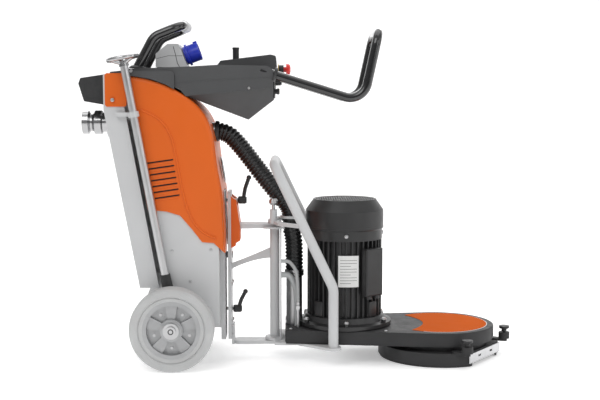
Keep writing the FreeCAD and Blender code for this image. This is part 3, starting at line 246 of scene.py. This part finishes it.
def make_materials():
    """Every finish of the machine, by its slot name."""
    made = {}

    def add(slot, surface):
        made[slot] = surface.material

    add("powder_grey", Surface("powder_grey", (0.56, 0.565, 0.57), 0.46)
        .tint(7, 0.035).rough(40, 0.07).grain(900, 0.00025, 0.5)
        .put(Specular_IOR_Level=0.35))
    add("orange_plastic", Surface("orange_plastic", (0.68, 0.118, 0.008), 0.40)
        .tint(5, 0.03).rough(30, 0.05).grain(1400, 0.00012, 0.35)
        .put(Specular_IOR_Level=0.35))
    add("orange_decal", Surface("orange_decal", (0.54, 0.092, 0.005), 0.70)
        .tint(6, 0.03).rough(30, 0.04).put(Specular_IOR_Level=0.03))
    add("dark_plastic", Surface("dark_plastic", (0.062, 0.063, 0.065), 0.50)
        .tint(9, 0.06).rough(60, 0.06).grain(1500, 0.0002, 0.7))
    add("panel_black", Surface("panel_black", (0.016, 0.016, 0.017), 0.42)
        .tint(12, 0.1).rough(50, 0.07).grain(1300, 0.00012, 0.5))
    add("black_rubber", Surface("black_rubber", (0.022, 0.022, 0.023), 0.62)
        .tint(20, 0.15).rough(90, 0.08).grain(700, 0.0003, 0.6))
    add("hose_black", Surface("hose_black", (0.011, 0.011, 0.0115), 0.26)
        .tint(25, 0.15).rough(80, 0.08).grain(900, 0.0001, 0.4))
    add("grey_tyre", Surface("grey_tyre", (0.49, 0.495, 0.495), 0.68)
        .tint(14, 0.06).rough(60, 0.08).grain(600, 0.0004, 0.6))
    add("cast_rim", Surface("cast_rim", (0.42, 0.425, 0.43), 0.42, 0.55)
        .tint(16, 0.05).rough(50, 0.08).grain(450, 0.0003, 0.5))
    add("polished_steel", Surface("polished_steel", (0.46, 0.46, 0.465), 0.2, 1.0)
        .tint(12, 0.03).rough(35, 0.06))
    add("bright_steel", Surface("bright_steel", (0.56, 0.56, 0.565), 0.36, 1.0)
        .tint(15, 0.05).rough(70, 0.08, stretch=(1, 1, 0.1)).grain(500, 0.00008, 0.4))
    add("gloss_black", Surface("gloss_black", (0.006, 0.006, 0.0065), 0.13)
        .tint(9, 0.1).rough(25, 0.04).put(Coat_Weight=0.8, Coat_Roughness=0.05))
    add("light_plastic", Surface("light_plastic", (0.66, 0.665, 0.67), 0.42)
        .tint(8, 0.03).rough(40, 0.05).grain(1200, 0.00015, 0.5))
    add("blue_plastic", Surface("blue_plastic", (0.022, 0.045, 0.56), 0.34)
        .tint(10, 0.05).rough(40, 0.05).grain(1100, 0.00012, 0.4))
    add("red_plastic", Surface("red_plastic", (0.70, 0.022, 0.016), 0.3)
        .tint(10, 0.05).rough(40, 0.05).grain(1100, 0.0001, 0.3))
    add("satin_black", Surface("satin_black", (0.036, 0.036, 0.037), 0.52)
        .tint(8, 0.08).rough(35, 0.07).grain(900, 0.0002, 0.5)
        .put(Specular_IOR_Level=0.22))
    add("cast_black", Surface("cast_black", (0.020, 0.020, 0.0205), 0.40)
        .tint(9, 0.12).rough(30, 0.07).grain(420, 0.0004, 0.55))
    add("grey_hose", Surface("grey_hose", (0.40, 0.41, 0.41), 0.5)
        .tint(12, 0.05).rough(50, 0.06).grain(800, 0.0002, 0.5))
    add("drive_aluminium", Surface("drive_aluminium", (0.60, 0.60, 0.61), 0.34, 1.0)
        .tint(14, 0.04).rough(60, 0.08, stretch=(0.1, 0.1, 1)).grain(400, 0.0001, 0.4))
    add("tool_steel", Surface("tool_steel", (0.32, 0.32, 0.33), 0.42, 1.0)
        .tint(18, 0.12).rough(60, 0.1).grain(350, 0.0002, 0.5))
    add("label_white", Surface("label_white", (0.72, 0.72, 0.71), 0.35)
        .tint(20, 0.02).rough(60, 0.04))
    add("yellow_plastic", Surface("yellow_plastic", (0.75, 0.45, 0.02), 0.35)
        .tint(12, 0.03).rough(50, 0.04))
    # Near-black finish used as painted shade, filling the hollows behind the louvre slots.
    add("slot_black", Surface("slot_black", (0.006, 0.006, 0.006), 0.7).tint(20, 0.1).rough(50, 0.05))
    return made


def dress_nodes():
    """Gives every CAD node the finish of its slot."""
    for entry in frame["record"]["subparts"]:
        node = NODES[entry["node"]]
        node.data.materials.clear()
        node.data.materials.append(MATERIALS[entry["material_slot"]])


MATERIALS = make_materials()
add_camera()
add_stage()
dress_nodes()


# ---- mesh helpers --------------------------------------------------------------------
def new_object(name, mesh, material, body):
    """Links a mesh as a piece with one finish, riding on a body."""
    piece = bpy.data.objects.new(name, mesh)
    bpy.context.scene.collection.objects.link(piece)
    mesh.materials.append(MATERIALS[material])
    mesh.polygons.foreach_set("use_smooth", [True] * len(mesh.polygons))
    if body:
        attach(piece, body)
    return piece


def mesh_from(name, points, faces):
    """Mesh from points and faces, with its normals outward."""
    mesh = bpy.data.meshes.new(name)
    mesh.from_pydata([tuple(p) for p in points], [], faces)
    work = bmesh.new()
    work.from_mesh(mesh)
    bmesh.ops.recalc_face_normals(work, faces=work.faces)
    work.to_mesh(mesh)
    work.free()
    return mesh


def lathe(name, profile, centre, axis, material, body, steps=48):
    """Turned piece from (radius, along) points; a zero radius closes an end."""
    centre, axis = Vector(centre), Vector(axis).normalized()
    side = axis.orthogonal().normalized()
    other = axis.cross(side)
    points, faces, rows = [], [], []
    for radius, along in profile:
        if radius < 1e-7:
            rows.append([len(points)])
            points.append(centre + axis * along)
            continue
        row = []
        for i in range(steps):
            turn = 2 * math.pi * i / steps
            row.append(len(points))
            points.append(centre + axis * along + (side * math.cos(turn)
                          + other * math.sin(turn)) * radius)
        rows.append(row)
    closed = len(rows[0]) > 1
    pairs = list(zip(rows, rows[1:])) + ([(rows[-1], rows[0])] if closed else [])
    for low, high in pairs:
        for i in range(steps):
            j = (i + 1) % steps
            corners = [low[i % len(low)], low[j % len(low)], high[j % len(high)], high[i % len(high)]]
            face = list(dict.fromkeys(corners))
            if len(face) > 2:
                faces.append(face)
    piece = new_object(name, mesh_from(name, points, faces), material, body)
    sharpen(piece, 35)
    return piece


def sharpen(piece, degrees):
    """Marks edges sharper than an angle, so that shading breaks there."""
    work = bmesh.new()
    work.from_mesh(piece.data)
    for edge in work.edges:
        if len(edge.link_faces) == 2 and edge.calc_face_angle(0) > math.radians(degrees):
            edge.smooth = False
    work.to_mesh(piece.data)
    work.free()


def prism(name, outline, axis, low, high, material, body, bevel=0.0, steps=2):
    """Outline drawn along an axis: "Y" takes (x, z) points and "Z" takes (x, y)."""
    def place(a, b, level):
        return (a, level, b) if axis == "Y" else (a, b, level)
    points = [place(a, b, low) for a, b in outline] + [place(a, b, high) for a, b in outline]
    n = len(outline)
    faces = [list(range(n)), list(range(n, 2 * n))]
    faces += [[i, (i + 1) % n, n + (i + 1) % n, n + i] for i in range(n)]
    mesh = mesh_from(name, points, faces)
    if bevel:
        work = bmesh.new()
        work.from_mesh(mesh)
        bmesh.ops.bevel(work, geom=work.edges[:], offset=bevel, segments=steps,
                        affect="EDGES", profile=0.5, clamp_overlap=True)
        work.to_mesh(mesh)
        work.free()
    piece = new_object(name, mesh, material, body)
    sharpen(piece, 40)
    return piece


def arc_points(cx, cy, radius, start, end, count):
    """Points along a plan arc, in metres."""
    out = []
    for i in range(count):
        turn = math.radians(start + (end - start) * i / (count - 1))
        out.append((cx + radius * math.cos(turn), cy + radius * math.sin(turn)))
    return out


# ---- corrugated hose -----------------------------------------------------------------
HOSE_R = 0.028
HOSE_PITCH = 0.0112
RIB_STEPS = 20        # points of the line along one rib
RIB_PROFILE = [(0.0, 0.88), (0.15, 0.96), (0.3, 1.0), (0.55, 1.0), (0.7, 0.96), (0.85, 0.88)]
UPPER_ROUTE = [(119.8, 0, 703.9), (151, 1, 702.4), (186, 4, 671), (230, 8, 614),
               (274, 12, 554), (316, 14, 502), (352, 14, 462), (352, 14, 433)]
LOWER_ROUTE = [(352, 14, 432.5), (352, 14, 408), (362, 6, 366), (363, 0, 310), (363, 0, 250.1)]


def route_line(points, count):
    """Even points along the smooth curve of a route, in metres."""
    curve = bpy.data.curves.new("route", "CURVE")
    curve.dimensions = "3D"
    spline = curve.splines.new("NURBS")
    spline.points.add(len(points) - 1)
    for point, (x, y, z) in zip(spline.points, points):
        point.co = (*at(x, y, z), 1)
    spline.order_u = 3
    spline.use_endpoint_u = True
    spline.resolution_u = 24
    holder = bpy.data.objects.new("route", curve)
    mesh = bpy.data.meshes.new_from_object(holder)
    raw = [v.co.copy() for v in mesh.vertices]
    bpy.data.objects.remove(holder)
    bpy.data.curves.remove(curve)
    bpy.data.meshes.remove(mesh)
    spans = [0.0]
    for a, b in zip(raw, raw[1:]):
        spans.append(spans[-1] + (b - a).length)
    line = []
    for i in range(count):
        want = spans[-1] * i / (count - 1)
        k = max(j for j in range(len(spans) - 1) if spans[j] <= want + 1e-9)
        share = (want - spans[k]) / max(spans[k + 1] - spans[k], 1e-9)
        line.append(raw[k].lerp(raw[k + 1], min(1.0, share)))
    return line, spans[-1]


def corrugated_hose(name, route, node):
    """Ribbed hose along a fixed route between the two bodies it joins, in place of the CAD node."""
    length = route_line(route, 8)[1]
    ribs = round(length / HOSE_PITCH)
    count = ribs * RIB_STEPS + 1
    line = route_line(route, count)[0]
    steps = 36
    points, faces = [], []
    side = None
    rings = []
    for rib in range(ribs + 1):
        for share, size in RIB_PROFILE:
            k = round((rib + share) * RIB_STEPS)
            if k < count:
                rings.append((k, size))
    for k, size in rings:
        here = line[k]
        ahead = line[min(k + 1, count - 1)] - line[max(k - 1, 0)]
        ahead.normalize()
        side = Vector((0, 1, 0)) if side is None else side
        side = (side - ahead * side.dot(ahead)).normalized()
        other = ahead.cross(side)
        for i in range(steps):
            turn = 2 * math.pi * i / steps
            points.append(here + (side * math.cos(turn) + other * math.sin(turn)) * HOSE_R * size)
    for row in range(len(rings) - 1):
        for i in range(steps):
            j = (i + 1) % steps
            faces.append([row * steps + i, row * steps + j,
                          (row + 1) * steps + j, (row + 1) * steps + i])
    faces.append(list(range(steps))[::-1])
    faces.append([(len(rings) - 1) * steps + i for i in range(steps)])
    piece = new_object(name, mesh_from(name, points, faces), "hose_black", None)
    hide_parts(node)
    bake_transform(piece)
    return piece


corrugated_hose("hose_upper_ribbed", UPPER_ROUTE, "hose_upper")
corrugated_hose("hose_lower_ribbed", LOWER_ROUTE, "hose_lower")

# ---- hose clamps ---------------------------------------------------------------------
for clamp_z in (258, 268):
    lathe(f"hose_clamp_{clamp_z}", [(0.0283, -0.004), (0.0302, -0.004), (0.0302, 0.004),
          (0.0283, 0.004)], at(363, 0, clamp_z), (0, 0, 1), "polished_steel", "front_frame")
lathe("hose_cuff", [(0.0282, 0), (0.032, 0), (0.032, 0.006), (0.030, 0.012), (0.0282, 0.012)],
      at(119, 0, 704), (1, 0, -0.05), "panel_black", "chassis")


# ---- fasteners ------------------------------------------------------------------------
def screw(name, place, axis, radius, material, body):
    """Low domed screw head with a socket."""
    r = radius
    lathe(name, [(0, 0), (r, 0), (r, r * 0.35), (r * 0.82, r * 0.6), (r * 0.48, r * 0.66),
                 (r * 0.42, r * 0.3), (0, r * 0.3)], place, axis, material, body, steps=24)


def hex_bolt(name, place, axis, radius, material, body):
    """Washer with a hexagon head."""
    washer_r, washer_h = radius * 1.35, radius * 0.22
    lathe(name + "_washer", [(0, 0), (washer_r, 0), (washer_r, washer_h), (0, washer_h)],
          place, axis, material, body, steps=28)
    top = Vector(place) + Vector(axis).normalized() * radius * 0.22
    lathe(name, [(0, 0), (radius, 0), (radius, radius * 0.62), (radius * 0.86, radius * 0.72),
                 (0, radius * 0.72)], top, axis, material, body, steps=6)


def add_fasteners():
    """Screws and rivets of the casings, and the bolts of the motor and head."""
    for side, name in RIGHT_LEFT:
        out = (0, side, 0)
        for i, (x, z) in enumerate(((-4, 349), (50, 257), (112, 352), (60, 150))):
            screw(f"cabinet_rivet_{name}_{i}", at(x, side * 136.0, z), out, 0.0042,
                  "bright_steel", "chassis")
        screw(f"corner_screw_{name}", at(-175, side * 146.3, 801), out, 0.006,
              "bright_steel", "chassis")
        screw(f"console_screw_{name}", at(228, side * 133.2, 836), out, 0.004,
              "bright_steel", "console")
    for i, turn in enumerate((30, 90, 150, 210, 270, 330)):
        aim = math.radians(turn)
        place = at(520 + 137 * math.cos(aim), 137 * math.sin(aim), 126.2)
        hex_bolt(f"flange_bolt_{i}", place, (0, 0, 1), 0.0066, "bright_steel", "front_frame")
    for i, turn in enumerate((-90, 0, 90, 180)):
        aim = Vector((math.cos(math.radians(turn)), math.sin(math.radians(turn)), 0))
        screw(f"fan_cowl_screw_{i}", at(520, 0, 389) + aim * 0.1172, aim, 0.0062,
              "bright_steel", "front_frame")
    cover_spots = [(x, side * y) for x, y in ((352, 98), (470, 112), (640, 132)) for side in (-1, 1)]
    for i, (x, y) in enumerate(cover_spots):
        screw(f"cover_screw_{i}", at(x, y, 102.0), (0, 0, 1), 0.005, "bright_steel", "front_frame")
    for level in (70, 110, 230):
        for y, label in ((-28, "r"), (28, "l")):
            hex_bolt(f"plate_bolt_{level}_{label}", at(168, y, level), (1, 0, 0),
                     0.0055, "bright_steel", "pendulum")


# ---- wheels ----------------------------------------------------------------------------
def add_wheel_details():
    """Hub rings, web rivets and axle caps of both wheels."""
    for side, name in RIGHT_LEFT:
        body = "wheel_" + name
        out = Vector((0, side, 0))
        centre = Vector((AXLE.x, 0, AXLE.z))
        face = centre + out * 0.2335
        lathe(f"hub_ring_{name}", [(0.0235, -0.001), (0.031, -0.001), (0.031, 0.0022), (0.028, 0.0036),
              (0.0235, 0.0036)], face, out, "cast_rim", body)
        for i in range(5):
            turn = math.radians(90 + 72 * i + 36)
            spot = Vector((math.cos(turn), 0, math.sin(turn))) * 0.055
            lathe(f"web_rivet_{name}_{i}", [(0, 0), (0.005, 0), (0.0045, 0.0015), (0, 0.002)],
                  centre + out * 0.211 + spot, out, "bright_steel", body, steps=20)
    cap = [(0.0045, -0.0005), (0.0060, 0.0012), (0.0085, 0.0012), (0.0085, -0.0005)]
    for side, name in RIGHT_LEFT:
        lathe(f"axle_cap_{name}", cap, at(0, side * 248.4, 125), (0, side, 0),
              "panel_black", "chassis", steps=28)


# ---- motor -----------------------------------------------------------------------------
def add_motor_details():
    """Plain rating plate, pads, band and grille bars of the motor."""
    plate_r = 0.1172
    turn0, turn1 = -102, -71
    arc = arc_points(MOTOR.x, 0, plate_r, turn0, turn1, 13)
    back = arc_points(MOTOR.x, 0, plate_r - 0.0012, turn1, turn0, 13)
    prism("rating_plate", arc + back, "Z", 0.234, 0.330, "label_white", "front_frame")
    for i in range(9):
        z = 0.245 + i * 0.0088
        last = turn1 - (3 if i % 3 else 12)
        line = arc_points(MOTOR.x, 0, plate_r + 0.0003, turn0 + 3, last, 11)
        under = arc_points(MOTOR.x, 0, plate_r - 0.0002, last, turn0 + 3, 11)
        prism(f"rating_plate_rule_{i}", line + under, "Z", z, z + 0.0011, "panel_black", "front_frame")
    for i, turn in enumerate((45, 135, 225, 315)):
        aim = math.radians(turn)
        centre = Vector((MOTOR.x, 0, 0)) + Vector((math.cos(aim), math.sin(aim), 0)) * 0.108
        pad = prism(f"motor_pad_{i}", [(-0.012, -0.017), (0.012, -0.017), (0.012, 0.017), (-0.012, 0.017)],
                    "Z", 0.138, 0.185, "cast_black", "front_frame", bevel=0.004)
        pad.data.transform(Matrix.Translation((centre.x, centre.y, 0)) @ Matrix.Rotation(aim, 4, "Z"))
    lathe("fan_cowl_band", [(0.1172, -0.004), (0.1215, -0.003), (0.1215, 0.003), (0.1172, 0.004)],
          at(520, 0, 409), (0, 0, 1), "cast_black", "front_frame", steps=96)
    bars = 26
    radius = 0.094
    for i in range(bars):
        x = (i - (bars - 1) / 2) * (2 * radius / bars)
        half = math.sqrt(radius ** 2 - x ** 2)
        prism(f"grille_bar_{i}", [(MOTOR.x + x - 0.0012, -half), (MOTOR.x + x + 0.0012, -half),
              (MOTOR.x + x + 0.0012, half), (MOTOR.x + x - 0.0012, half)], "Z", 0.4905, 0.4955,
              "cast_black", "front_frame", bevel=0.0005, steps=1)


# ---- head cover --------------------------------------------------------------------------
def add_cover_details():
    """Orange panel on the belt cover, in a plain shield shape."""
    top = 0.1021
    cx = SPINDLE.x
    radius = 0.150
    outline = arc_points(cx, 0, radius, -116, 116, 49)
    rear_x, rear_y = outline[-1]
    notch = []
    for i in range(1, 14):
        share = i / 14
        across = 1 - 2 * share
        bulge = 0.0475 * math.sin(math.pi * share)
        notch.append((rear_x - 0.030 + bulge - 0.012 * across ** 2, rear_y * across))
    prism("cover_panel", outline + notch, "Z", top - 0.0002, top + 0.0010,
          "orange_decal", "front_frame")
    rim = arc_points(cx, 0, radius + 0.0025, -114, 114, 49)
    inner = arc_points(cx, 0, radius + 0.0005, 114, -114, 49)
    prism("cover_panel_line", rim + inner, "Z", top - 0.0002, top + 0.0006, "label_white", "front_frame")


# ---- cowl, badge and louvres ----------------------------------------------------------------
LOUVRES = 7
LOUVRE_PITCH = 17.6
CONTOUR = [(-94, 771), (-48, 756), (-9, 711), (8, 652), (26, 540), (47, 459), (86, 400), (128, 388)]


def side_outline(points):
    """(x, z) points in millimetres, as prism takes them for the axis "Y"."""
    return [(at(x, 0, z).x, z * MM) for x, z in points]


def contour_bead(side, name):
    """Round raised bead along the cowl's inner contour, on one side."""
    curve = bpy.data.curves.new("contour", "CURVE")
    curve.dimensions = "3D"
    spline = curve.splines.new("NURBS")
    spline.points.add(len(CONTOUR) - 1)
    for point, (x, z) in zip(spline.points, CONTOUR):
        point.co = (*at(x, side * 140.6, z), 1)
    spline.order_u = 3
    spline.use_endpoint_u = True
    curve.bevel_depth = 0.0034
    curve.bevel_resolution = 3
    curve.use_fill_caps = True
    holder = bpy.data.objects.new("contour", curve)
    mesh = bpy.data.meshes.new_from_object(holder)
    bpy.data.objects.remove(holder)
    new_object(f"cowl_bead_{name}", mesh, "orange_plastic", "chassis")


def louvre(side, name, i):
    """Dark sheet behind one louvre slot, which paints the shade of the hollow behind it, and the lip under
    it.
    """
    drop = i * LOUVRE_PITCH
    rear_x, rear_z = -75 + i * 3.5, 613 - drop
    front_x, front_z = 2 + i * 3.0, 624 - drop
    # Painted shade: a near-black sheet stands in the slot for the shaded hollow behind it.
    back = [(rear_x, rear_z - 2.6), (front_x, front_z - 2.6),
            (front_x, front_z + 2.6), (rear_x, rear_z + 2.6)]
    level = side * 0.1375
    prism(f"louvre_shade_back_{name}_{i}", side_outline(back), "Y", level - 0.0006, level + 0.0006,
          "slot_black", "chassis")
    lip = [(rear_x, rear_z - 9), (front_x - 2, front_z - 9),
           (front_x - 2, front_z - 4.2), (rear_x, rear_z - 4.2)]
    low, high = sorted((side * 0.1398, side * 0.1422))
    prism(f"louvre_rib_{name}_{i}", side_outline(lip), "Y", low, high, "orange_plastic", "chassis",
          bevel=0.0011, steps=3)


def add_badge():
    """Plain oval badge on the cowl's front, with a steel rim."""
    lean = (Matrix.Translation(at(141.5, 0, 585)) @ Matrix.Rotation(math.radians(80.5), 4, "Y")
            @ Matrix.Diagonal((1.9, 1.0, 1.0, 1)))
    rim = [(0.0205, -0.001), (0.0225, 0.0008), (0.0205, 0.0026), (0.0185, 0.0026), (0.0185, -0.001)]
    face = [(0, -0.001), (0.0187, -0.001), (0.0187, 0.0016), (0, 0.0019)]
    for name, profile, material in (("badge_rim", rim, "polished_steel"),
                                    ("badge_face", face, "panel_black")):
        piece = lathe(name, profile, (0, 0, 0), (0, 0, 1), material, None)
        piece.data.transform(lean)
        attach(piece, "chassis")


def add_cowl_details():
    """Contour beads and louvres on both sides, and the badge."""
    for side, name in RIGHT_LEFT:
        contour_bead(side, name)
        for i in range(LOUVRES):
            louvre(side, name, i)
    add_badge()


# ---- console -----------------------------------------------------------------------------------
def side_line(name, points, half, depth, width, material, body):
    """Thin raised line on both flat sides: points are (x, z) in mm, half is the side's y."""
    for side, label in RIGHT_LEFT:
        for i, (first, last) in enumerate(zip(points, points[1:])):
            run = Vector((last[0] - first[0], last[1] - first[1])).normalized()
            off = Vector((-run.y, run.x)) * width / 2
            corners = [Vector(first) + off, Vector(last) + off, Vector(last) - off, Vector(first) - off]
            outline = [(at(p.x, 0, 0).x, p.y * MM) for p in corners]
            low, high = sorted((side * (half - 0.3) * MM, side * (half + depth) * MM))
            prism(f"{name}_{label}_{i}", outline, "Y", low, high, material, body, bevel=0.00025, steps=2)


def add_console_creases():
    """Moulded creases along the console's sides and the seams of the inlet housing."""
    side_line("console_crease", [(12, 850), (120, 860), (294, 867)], 134, 0.7, 1.8,
              "dark_plastic", "console")
    side_line("inlet_seam", [(-56, 925), (-20, 934), (24, 934)], 45, 0.25, 1.2, "panel_black", "console")
    side_line("inlet_latch", [(-4, 962), (2, 940), (8, 912), (14, 901)], 45, 0.5, 1.8,
              "panel_black", "console")


def add_panel_controls():
    """Switches, stop ring, display and dial of the control panel."""
    ahead = (1, 0, 0)
    switch = [(0, 0), (0.0095, 0), (0.0095, 0.004), (0.0075, 0.0062), (0, 0.0066)]
    colours = ("panel_black", "yellow_plastic", "light_plastic", "panel_black")
    for i, material in enumerate(colours):
        lathe(f"panel_switch_{i}", switch, at(311.8, 30 * i - 70, 826), ahead, material, "console",
              steps=32)
    lathe("stop_ring", [(0.0085, 0), (0.0185, 0), (0.0185, 0.0018), (0.0085, 0.0018)],
          at(312.4, 80, 895), ahead, "yellow_plastic", "console")
    bezel = [(0, 0), (0.016, 0), (0.016, 0.0016), (0.0135, 0.0022), (0.0135, 0.0012), (0, 0.0012)]
    lathe("display_bezel", bezel, at(304.0, 55, 850), ahead, "gloss_black", "console")
    lathe("speed_dial", [(0.0148, 0), (0.022, 0), (0.022, 0.001), (0.0148, 0.001)],
          at(304.0, -55, 857), ahead, "label_white", "console")


def add_loop_grip():
    """Ridged sleeve on the crossbar of the lifting loop."""
    start, end = at(28, -50, 1024), at(28, 50, 1024)
    profile = [(0.0142, 0)]
    for i in range(30):
        base = 0.002 + i * 0.0032
        profile += [(0.0168, base), (0.0168, base + 0.002), (0.0161, base + 0.0026)]
    profile += [(0.0142, 0.1)]
    lathe("loop_grip", profile, start, end - start, "light_plastic", "console", steps=40)


def add_console_details():
    """Panel controls, loop grip, tube collars, inlet collar and moulded lines."""
    add_panel_controls()
    add_loop_grip()
    foot = [(0.0145, 0), (0.024, 0), (0.024, 0.003), (0.0195, 0.007), (0.0155, 0.009)]
    socket = [(0.0146, 0), (0.023, 0), (0.023, 0.004), (0.019, 0.009), (0.0146, 0.011)]
    for side, name in RIGHT_LEFT:
        lathe(f"loop_foot_{name}", foot, at(-108.2, side * 92, 894.6), (0.04, 0, 1),
              "panel_black", "console")
        lathe(f"handle_socket_{name}", socket, at(301.0, side * 118, 876.2), (0.955, 0, -0.296),
              "panel_black", "console")
    lathe("inlet_collar", [(0.0285, 0), (0.0335, 0.001), (0.0335, 0.007), (0.0285, 0.008)],
          at(34, 0, 936.6), (0.939, 0, 0.344), "blue_plastic", "console")
    add_console_creases()


add_fasteners()
add_wheel_details()
add_motor_details()
add_cover_details()
add_cowl_details()
add_console_details()
